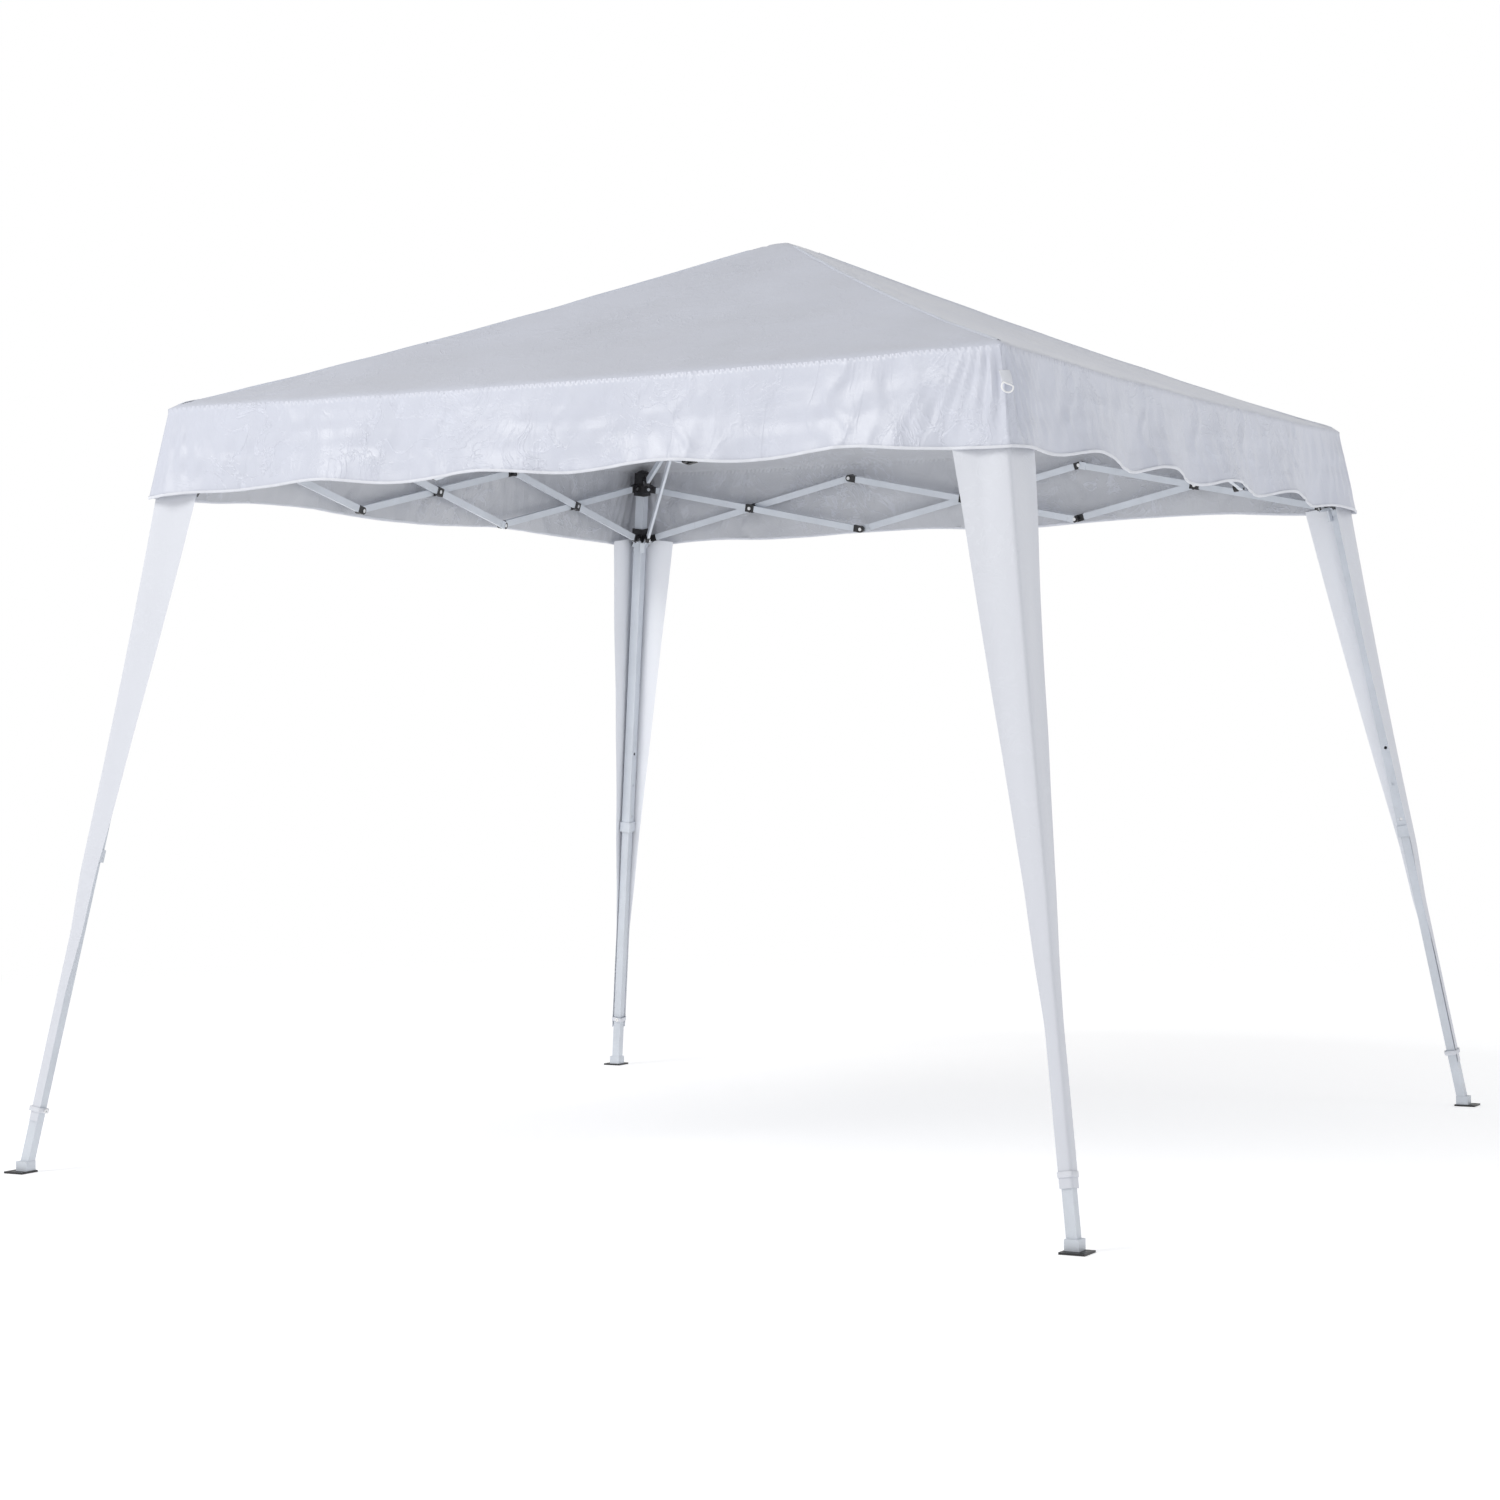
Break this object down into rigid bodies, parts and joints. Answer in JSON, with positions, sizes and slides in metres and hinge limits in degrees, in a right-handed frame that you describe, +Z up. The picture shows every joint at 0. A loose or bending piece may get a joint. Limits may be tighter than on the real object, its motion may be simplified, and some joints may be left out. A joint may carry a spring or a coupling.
{
  "type": "pop up canopy",
  "caption": "Slant-leg folding canopy: telescoping legs, scissor side trusses, jointed roof rafters, hub and a pitched cover with valance.",
  "frame": {"origin": "on the floor under the centre of the roof", "axes": "+Z up, +Y toward the back, +X toward the right side"},
  "size_m": [3.078, 3.078, 2.524],
  "materials": {
    "cover_cloth": "satin",
    "skirt_cloth": "satin",
    "black_plastic": "matte",
    "button_steel": "satin",
    "leg_steel": "satin",
    "bar_steel": "satin"
  },
  "bodies": {
    "hub": {"hub": "black_plastic", "hub_cap": "black_plastic", "canopy_roof": "cover_cloth", "canopy_valance": "cover_cloth"},
    "upper_rafter_front_left": {"upper_rafter_front_left": "bar_steel"},
    "lower_rafter_front_left": {"lower_rafter_front_left": "bar_steel"},
    "leg_front_left": {"outer_leg_front_left": "leg_steel", "leg_skirt_front_left": "skirt_cloth"},
    "slider_front_left": {"slider_front_left": "black_plastic"},
    "strut_front_left": {"strut_front_left": "bar_steel"},
    "inner_leg_front_left": {"inner_leg_front_left": "leg_steel"},
    "snap_button_front_left": {"snap_button_front_left": "button_steel"},
    "top_bar_front_from_left": {"top_bar_front_from_left": "bar_steel"},
    "slider_bar_front_from_left": {"slider_bar_front_from_left": "bar_steel"},
    "middle_bar_front_from_left": {"middle_bar_front_from_left": "bar_steel"},
    "top_bar_left_from_front": {"top_bar_left_from_front": "bar_steel"},
    "slider_bar_left_from_front": {"slider_bar_left_from_front": "bar_steel"},
    "middle_bar_left_from_front": {"middle_bar_left_from_front": "bar_steel"},
    "upper_rafter_front_right": {"upper_rafter_front_right": "bar_steel"},
    "lower_rafter_front_right": {"lower_rafter_front_right": "bar_steel"},
    "leg_front_right": {"outer_leg_front_right": "leg_steel", "leg_skirt_front_right": "skirt_cloth"},
    "slider_front_right": {"slider_front_right": "black_plastic"},
    "strut_front_right": {"strut_front_right": "bar_steel"},
    "inner_leg_front_right": {"inner_leg_front_right": "leg_steel"},
    "snap_button_front_right": {"snap_button_front_right": "button_steel"},
    "top_bar_right_from_front": {"top_bar_right_from_front": "bar_steel"},
    "slider_bar_right_from_front": {"slider_bar_right_from_front": "bar_steel"},
    "middle_bar_right_from_front": {"middle_bar_right_from_front": "bar_steel"},
    "top_bar_front_from_right": {"top_bar_front_from_right": "bar_steel"},
    "slider_bar_front_from_right": {"slider_bar_front_from_right": "bar_steel"},
    "middle_bar_front_from_right": {"middle_bar_front_from_right": "bar_steel"},
    "upper_rafter_back_right": {"upper_rafter_back_right": "bar_steel"},
    "lower_rafter_back_right": {"lower_rafter_back_right": "bar_steel"},
    "leg_back_right": {"outer_leg_back_right": "leg_steel", "leg_skirt_back_right": "skirt_cloth"},
    "slider_back_right": {"slider_back_right": "black_plastic"},
    "strut_back_right": {"strut_back_right": "bar_steel"},
    "inner_leg_back_right": {"inner_leg_back_right": "leg_steel"},
    "snap_button_back_right": {"snap_button_back_right": "button_steel"},
    "top_bar_back_from_right": {"top_bar_back_from_right": "bar_steel"},
    "slider_bar_back_from_right": {"slider_bar_back_from_right": "bar_steel"},
    "middle_bar_back_from_right": {"middle_bar_back_from_right": "bar_steel"},
    "top_bar_right_from_back": {"top_bar_right_from_back": "bar_steel"},
    "slider_bar_right_from_back": {"slider_bar_right_from_back": "bar_steel"},
    "middle_bar_right_from_back": {"middle_bar_right_from_back": "bar_steel"},
    "upper_rafter_back_left": {"upper_rafter_back_left": "bar_steel"},
    "lower_rafter_back_left": {"lower_rafter_back_left": "bar_steel"},
    "leg_back_left": {"outer_leg_back_left": "leg_steel", "leg_skirt_back_left": "skirt_cloth"},
    "slider_back_left": {"slider_back_left": "black_plastic"},
    "strut_back_left": {"strut_back_left": "bar_steel"},
    "inner_leg_back_left": {"inner_leg_back_left": "leg_steel"},
    "snap_button_back_left": {"snap_button_back_left": "button_steel"},
    "top_bar_left_from_back": {"top_bar_left_from_back": "bar_steel"},
    "slider_bar_left_from_back": {"slider_bar_left_from_back": "bar_steel"},
    "middle_bar_left_from_back": {"middle_bar_left_from_back": "bar_steel"},
    "top_bar_back_from_left": {"top_bar_back_from_left": "bar_steel"},
    "slider_bar_back_from_left": {"slider_bar_back_from_left": "bar_steel"},
    "middle_bar_back_from_left": {"middle_bar_back_from_left": "bar_steel"}
  },
  "joints": [
    {"name": "fold", "type": "hinge", "parent": "hub", "child": "upper_rafter_front_left", "pos_m": [-0.02828, -0.02828, 2.47], "axis": [0.7071, -0.7071, 0], "range_deg": [0, 73.75], "deforming": ["canopy_roof", "canopy_valance"]},
    {"name": "elbow_front_left", "type": "hinge", "parent": "upper_rafter_front_left", "child": "lower_rafter_front_left", "pos_m": [-0.7263, -0.7263, 2.1702], "axis": [0.7071, -0.7071, 0], "range_deg": [-175.44, 0]},
    {"name": "leg_hinge_front_left", "type": "hinge", "parent": "lower_rafter_front_left", "child": "leg_front_left", "pos_m": [-1.14376, -1.14376, 1.99091], "axis": [0.7071, -0.7071, 0], "range_deg": [0, 114.3]},
    {"name": "slider_front_left", "type": "slide", "parent": "leg_front_left", "child": "slider_front_left", "axis": [-0.1561, -0.1561, -0.9753], "range_m": [0, 0.62176]},
    {"name": "strut_hinge_front_left", "type": "hinge", "parent": "slider_front_left", "child": "strut_front_left", "pos_m": [-1.17406, -1.17406, 1.80152], "axis": [0.7071, -0.7071, 0], "range_deg": [0, 35.54]},
    {"name": "leg_slide_front_left", "type": "slide", "parent": "leg_front_left", "child": "inner_leg_front_left", "axis": [0.1561, 0.1561, 0.9753], "range_m": [0, 0.795], "deforming": ["leg_skirt_front_left"]},
    {"name": "button_front_left", "type": "slide", "parent": "inner_leg_front_left", "child": "snap_button_front_left", "axis": [0.0123, -0.9877, 0.1561], "range_m": [0, 0.004], "stiffness_N_per_m": 400},
    {"name": "bracket_hinge_front_from_left", "type": "hinge", "parent": "leg_front_left", "child": "top_bar_front_from_left", "pos_m": [-1.14895, -1.18438, 1.97261], "axis": [0, 0.9874, -0.158], "range_deg": [0, 83.7]},
    {"name": "cross_hinge_front_from_left", "type": "hinge", "parent": "top_bar_front_from_left", "child": "slider_bar_front_from_left", "pos_m": [-0.77505, -1.19713, 1.89292], "axis": [0, 0.9874, -0.158], "range_deg": [-149.64, 0]},
    {"name": "upper_middle_hinge_front_from_left", "type": "hinge", "parent": "slider_bar_front_from_left", "child": "middle_bar_front_from_left", "pos_m": [-0.40116, -1.18438, 1.97261], "axis": [0, 0.9874, -0.158], "range_deg": [0, 149.64]},
    {"name": "bracket_hinge_left_from_front", "type": "hinge", "parent": "leg_front_left", "child": "top_bar_left_from_front", "pos_m": [-1.18438, -1.14895, 1.97261], "axis": [-0.9874, 0, 0.158], "range_deg": [0, 83.7]},
    {"name": "cross_hinge_left_from_front", "type": "hinge", "parent": "top_bar_left_from_front", "child": "slider_bar_left_from_front", "pos_m": [-1.19713, -0.77505, 1.89292], "axis": [-0.9874, 0, 0.158], "range_deg": [-149.64, 0]},
    {"name": "upper_middle_hinge_left_from_front", "type": "hinge", "parent": "slider_bar_left_from_front", "child": "middle_bar_left_from_front", "pos_m": [-1.18438, -0.40116, 1.97261], "axis": [-0.9874, 0, 0.158], "range_deg": [0, 149.64]},
    {"name": "hub_hinge_front_right", "type": "hinge", "parent": "hub", "child": "upper_rafter_front_right", "pos_m": [0.02828, -0.02828, 2.47], "axis": [0.7071, 0.7071, 0], "range_deg": [0, 73.75]},
    {"name": "elbow_front_right", "type": "hinge", "parent": "upper_rafter_front_right", "child": "lower_rafter_front_right", "pos_m": [0.7263, -0.7263, 2.1702], "axis": [0.7071, 0.7071, 0], "range_deg": [-175.44, 0]},
    {"name": "leg_hinge_front_right", "type": "hinge", "parent": "lower_rafter_front_right", "child": "leg_front_right", "pos_m": [1.14376, -1.14376, 1.99091], "axis": [0.7071, 0.7071, 0], "range_deg": [0, 114.3]},
    {"name": "slider_front_right", "type": "slide", "parent": "leg_front_right", "child": "slider_front_right", "axis": [0.1561, -0.1561, -0.9753], "range_m": [0, 0.62176]},
    {"name": "strut_hinge_front_right", "type": "hinge", "parent": "slider_front_right", "child": "strut_front_right", "pos_m": [1.17406, -1.17406, 1.80152], "axis": [0.7071, 0.7071, 0], "range_deg": [0, 35.54]},
    {"name": "leg_slide_front_right", "type": "slide", "parent": "leg_front_right", "child": "inner_leg_front_right", "axis": [-0.1561, 0.1561, 0.9753], "range_m": [0, 0.795], "deforming": ["leg_skirt_front_right"]},
    {"name": "button_front_right", "type": "slide", "parent": "inner_leg_front_right", "child": "snap_button_front_right", "axis": [0.9877, 0.0123, 0.1561], "range_m": [0, 0.004], "stiffness_N_per_m": 400},
    {"name": "bracket_hinge_right_from_front", "type": "hinge", "parent": "leg_front_right", "child": "top_bar_right_from_front", "pos_m": [1.18438, -1.14895, 1.97261], "axis": [-0.9874, 0, -0.158], "range_deg": [0, 83.7]},
    {"name": "cross_hinge_right_from_front", "type": "hinge", "parent": "top_bar_right_from_front", "child": "slider_bar_right_from_front", "pos_m": [1.19713, -0.77505, 1.89292], "axis": [-0.9874, 0, -0.158], "range_deg": [-149.64, 0]},
    {"name": "upper_middle_hinge_right_from_front", "type": "hinge", "parent": "slider_bar_right_from_front", "child": "middle_bar_right_from_front", "pos_m": [1.18438, -0.40116, 1.97261], "axis": [-0.9874, 0, -0.158], "range_deg": [0, 149.64]},
    {"name": "bracket_hinge_front_from_right", "type": "hinge", "parent": "leg_front_right", "child": "top_bar_front_from_right", "pos_m": [1.14895, -1.18438, 1.97261], "axis": [0, -0.9874, 0.158], "range_deg": [0, 83.7]},
    {"name": "cross_hinge_front_from_right", "type": "hinge", "parent": "top_bar_front_from_right", "child": "slider_bar_front_from_right", "pos_m": [0.77505, -1.19713, 1.89292], "axis": [0, -0.9874, 0.158], "range_deg": [-149.64, 0]},
    {"name": "upper_middle_hinge_front_from_right", "type": "hinge", "parent": "slider_bar_front_from_right", "child": "middle_bar_front_from_right", "pos_m": [0.40116, -1.18438, 1.97261], "axis": [0, -0.9874, 0.158], "range_deg": [0, 149.64]},
    {"name": "hub_hinge_back_right", "type": "hinge", "parent": "hub", "child": "upper_rafter_back_right", "pos_m": [0.02828, 0.02828, 2.47], "axis": [-0.7071, 0.7071, 0], "range_deg": [0, 73.75]},
    {"name": "elbow_back_right", "type": "hinge", "parent": "upper_rafter_back_right", "child": "lower_rafter_back_right", "pos_m": [0.7263, 0.7263, 2.1702], "axis": [-0.7071, 0.7071, 0], "range_deg": [-175.44, 0]},
    {"name": "leg_hinge_back_right", "type": "hinge", "parent": "lower_rafter_back_right", "child": "leg_back_right", "pos_m": [1.14376, 1.14376, 1.99091], "axis": [-0.7071, 0.7071, 0], "range_deg": [0, 114.3]},
    {"name": "slider_back_right", "type": "slide", "parent": "leg_back_right", "child": "slider_back_right", "axis": [0.1561, 0.1561, -0.9753], "range_m": [0, 0.62176]},
    {"name": "strut_hinge_back_right", "type": "hinge", "parent": "slider_back_right", "child": "strut_back_right", "pos_m": [1.17406, 1.17406, 1.80152], "axis": [-0.7071, 0.7071, 0], "range_deg": [0, 35.54]},
    {"name": "leg_slide_back_right", "type": "slide", "parent": "leg_back_right", "child": "inner_leg_back_right", "axis": [-0.1561, -0.1561, 0.9753], "range_m": [0, 0.795], "deforming": ["leg_skirt_back_right"]},
    {"name": "button_back_right", "type": "slide", "parent": "inner_leg_back_right", "child": "snap_button_back_right", "axis": [-0.0123, 0.9877, 0.1561], "range_m": [0, 0.004], "stiffness_N_per_m": 400},
    {"name": "bracket_hinge_back_from_right", "type": "hinge", "parent": "leg_back_right", "child": "top_bar_back_from_right", "pos_m": [1.14895, 1.18438, 1.97261], "axis": [0, -0.9874, -0.158], "range_deg": [0, 83.7]},
    {"name": "cross_hinge_back_from_right", "type": "hinge", "parent": "top_bar_back_from_right", "child": "slider_bar_back_from_right", "pos_m": [0.77505, 1.19713, 1.89292], "axis": [0, -0.9874, -0.158], "range_deg": [-149.64, 0]},
    {"name": "upper_middle_hinge_back_from_right", "type": "hinge", "parent": "slider_bar_back_from_right", "child": "middle_bar_back_from_right", "pos_m": [0.40116, 1.18438, 1.97261], "axis": [0, -0.9874, -0.158], "range_deg": [0, 149.64]},
    {"name": "bracket_hinge_right_from_back", "type": "hinge", "parent": "leg_back_right", "child": "top_bar_right_from_back", "pos_m": [1.18438, 1.14895, 1.97261], "axis": [0.9874, 0, 0.158], "range_deg": [0, 83.7]},
    {"name": "cross_hinge_right_from_back", "type": "hinge", "parent": "top_bar_right_from_back", "child": "slider_bar_right_from_back", "pos_m": [1.19713, 0.77505, 1.89292], "axis": [0.9874, 0, 0.158], "range_deg": [-149.64, 0]},
    {"name": "upper_middle_hinge_right_from_back", "type": "hinge", "parent": "slider_bar_right_from_back", "child": "middle_bar_right_from_back", "pos_m": [1.18438, 0.40116, 1.97261], "axis": [0.9874, 0, 0.158], "range_deg": [0, 149.64]},
    {"name": "hub_hinge_back_left", "type": "hinge", "parent": "hub", "child": "upper_rafter_back_left", "pos_m": [-0.02828, 0.02828, 2.47], "axis": [-0.7071, -0.7071, 0], "range_deg": [0, 73.75]},
    {"name": "elbow_back_left", "type": "hinge", "parent": "upper_rafter_back_left", "child": "lower_rafter_back_left", "pos_m": [-0.7263, 0.7263, 2.1702], "axis": [-0.7071, -0.7071, 0], "range_deg": [-175.44, 0]},
    {"name": "leg_hinge_back_left", "type": "hinge", "parent": "lower_rafter_back_left", "child": "leg_back_left", "pos_m": [-1.14376, 1.14376, 1.99091], "axis": [-0.7071, -0.7071, 0], "range_deg": [0, 114.3]},
    {"name": "slider_back_left", "type": "slide", "parent": "leg_back_left", "child": "slider_back_left", "axis": [-0.1561, 0.1561, -0.9753], "range_m": [0, 0.62176]},
    {"name": "strut_hinge_back_left", "type": "hinge", "parent": "slider_back_left", "child": "strut_back_left", "pos_m": [-1.17406, 1.17406, 1.80152], "axis": [-0.7071, -0.7071, 0], "range_deg": [0, 35.54]},
    {"name": "leg_slide_back_left", "type": "slide", "parent": "leg_back_left", "child": "inner_leg_back_left", "axis": [0.1561, -0.1561, 0.9753], "range_m": [0, 0.795], "deforming": ["leg_skirt_back_left"]},
    {"name": "button_back_left", "type": "slide", "parent": "inner_leg_back_left", "child": "snap_button_back_left", "axis": [-0.9877, -0.0123, 0.1561], "range_m": [0, 0.004], "stiffness_N_per_m": 400},
    {"name": "bracket_hinge_left_from_back", "type": "hinge", "parent": "leg_back_left", "child": "top_bar_left_from_back", "pos_m": [-1.18438, 1.14895, 1.97261], "axis": [0.9874, 0, -0.158], "range_deg": [0, 83.7]},
    {"name": "cross_hinge_left_from_back", "type": "hinge", "parent": "top_bar_left_from_back", "child": "slider_bar_left_from_back", "pos_m": [-1.19713, 0.77505, 1.89292], "axis": [0.9874, 0, -0.158], "range_deg": [-149.64, 0]},
    {"name": "upper_middle_hinge_left_from_back", "type": "hinge", "parent": "slider_bar_left_from_back", "child": "middle_bar_left_from_back", "pos_m": [-1.18438, 0.40116, 1.97261], "axis": [0.9874, 0, -0.158], "range_deg": [0, 149.64]},
    {"name": "bracket_hinge_back_from_left", "type": "hinge", "parent": "leg_back_left", "child": "top_bar_back_from_left", "pos_m": [-1.14895, 1.18438, 1.97261], "axis": [0, 0.9874, 0.158], "range_deg": [0, 83.7]},
    {"name": "cross_hinge_back_from_left", "type": "hinge", "parent": "top_bar_back_from_left", "child": "slider_bar_back_from_left", "pos_m": [-0.77505, 1.19713, 1.89292], "axis": [0, 0.9874, 0.158], "range_deg": [-149.64, 0]},
    {"name": "upper_middle_hinge_back_from_left", "type": "hinge", "parent": "slider_bar_back_from_left", "child": "middle_bar_back_from_left", "pos_m": [-0.40116, 1.18438, 1.97261], "axis": [0, 0.9874, 0.158], "range_deg": [0, 149.64]}
  ],
  "couplings": [
    {"joint": "elbow_front_left", "follows": "fold", "ratio": -2.379},
    {"joint": "leg_hinge_front_left", "follows": "fold", "ratio": 1.5499},
    {"joint": "slider_front_left", "follows": "fold", "m_per_rad": 0.48306},
    {"joint": "strut_hinge_front_left", "follows": "fold", "ratio": 0.48198},
    {"joint": "bracket_hinge_front_from_left", "follows": "fold", "ratio": 1.1349},
    {"joint": "cross_hinge_front_from_left", "follows": "fold", "ratio": -2.0291},
    {"joint": "upper_middle_hinge_front_from_left", "follows": "fold", "ratio": 2.0291},
    {"joint": "bracket_hinge_left_from_front", "follows": "fold", "ratio": 1.1349},
    {"joint": "cross_hinge_left_from_front", "follows": "fold", "ratio": -2.0291},
    {"joint": "upper_middle_hinge_left_from_front", "follows": "fold", "ratio": 2.0291},
    {"joint": "hub_hinge_front_right", "follows": "fold", "ratio": 1},
    {"joint": "elbow_front_right", "follows": "fold", "ratio": -2.379},
    {"joint": "leg_hinge_front_right", "follows": "fold", "ratio": 1.5499},
    {"joint": "slider_front_right", "follows": "fold", "m_per_rad": 0.48306},
    {"joint": "strut_hinge_front_right", "follows": "fold", "ratio": 0.48198},
    {"joint": "bracket_hinge_right_from_front", "follows": "fold", "ratio": 1.1349},
    {"joint": "cross_hinge_right_from_front", "follows": "fold", "ratio": -2.0291},
    {"joint": "upper_middle_hinge_right_from_front", "follows": "fold", "ratio": 2.0291},
    {"joint": "bracket_hinge_front_from_right", "follows": "fold", "ratio": 1.1349},
    {"joint": "cross_hinge_front_from_right", "follows": "fold", "ratio": -2.0291},
    {"joint": "upper_middle_hinge_front_from_right", "follows": "fold", "ratio": 2.0291},
    {"joint": "hub_hinge_back_right", "follows": "fold", "ratio": 1},
    {"joint": "elbow_back_right", "follows": "fold", "ratio": -2.379},
    {"joint": "leg_hinge_back_right", "follows": "fold", "ratio": 1.5499},
    {"joint": "slider_back_right", "follows": "fold", "m_per_rad": 0.48306},
    {"joint": "strut_hinge_back_right", "follows": "fold", "ratio": 0.48198},
    {"joint": "bracket_hinge_back_from_right", "follows": "fold", "ratio": 1.1349},
    {"joint": "cross_hinge_back_from_right", "follows": "fold", "ratio": -2.0291},
    {"joint": "upper_middle_hinge_back_from_right", "follows": "fold", "ratio": 2.0291},
    {"joint": "bracket_hinge_right_from_back", "follows": "fold", "ratio": 1.1349},
    {"joint": "cross_hinge_right_from_back", "follows": "fold", "ratio": -2.0291},
    {"joint": "upper_middle_hinge_right_from_back", "follows": "fold", "ratio": 2.0291},
    {"joint": "hub_hinge_back_left", "follows": "fold", "ratio": 1},
    {"joint": "elbow_back_left", "follows": "fold", "ratio": -2.379},
    {"joint": "leg_hinge_back_left", "follows": "fold", "ratio": 1.5499},
    {"joint": "slider_back_left", "follows": "fold", "m_per_rad": 0.48306},
    {"joint": "strut_hinge_back_left", "follows": "fold", "ratio": 0.48198},
    {"joint": "bracket_hinge_left_from_back", "follows": "fold", "ratio": 1.1349},
    {"joint": "cross_hinge_left_from_back", "follows": "fold", "ratio": -2.0291},
    {"joint": "upper_middle_hinge_left_from_back", "follows": "fold", "ratio": 2.0291},
    {"joint": "bracket_hinge_back_from_left", "follows": "fold", "ratio": 1.1349},
    {"joint": "cross_hinge_back_from_left", "follows": "fold", "ratio": -2.0291},
    {"joint": "upper_middle_hinge_back_from_left", "follows": "fold", "ratio": 2.0291}
  ]
}
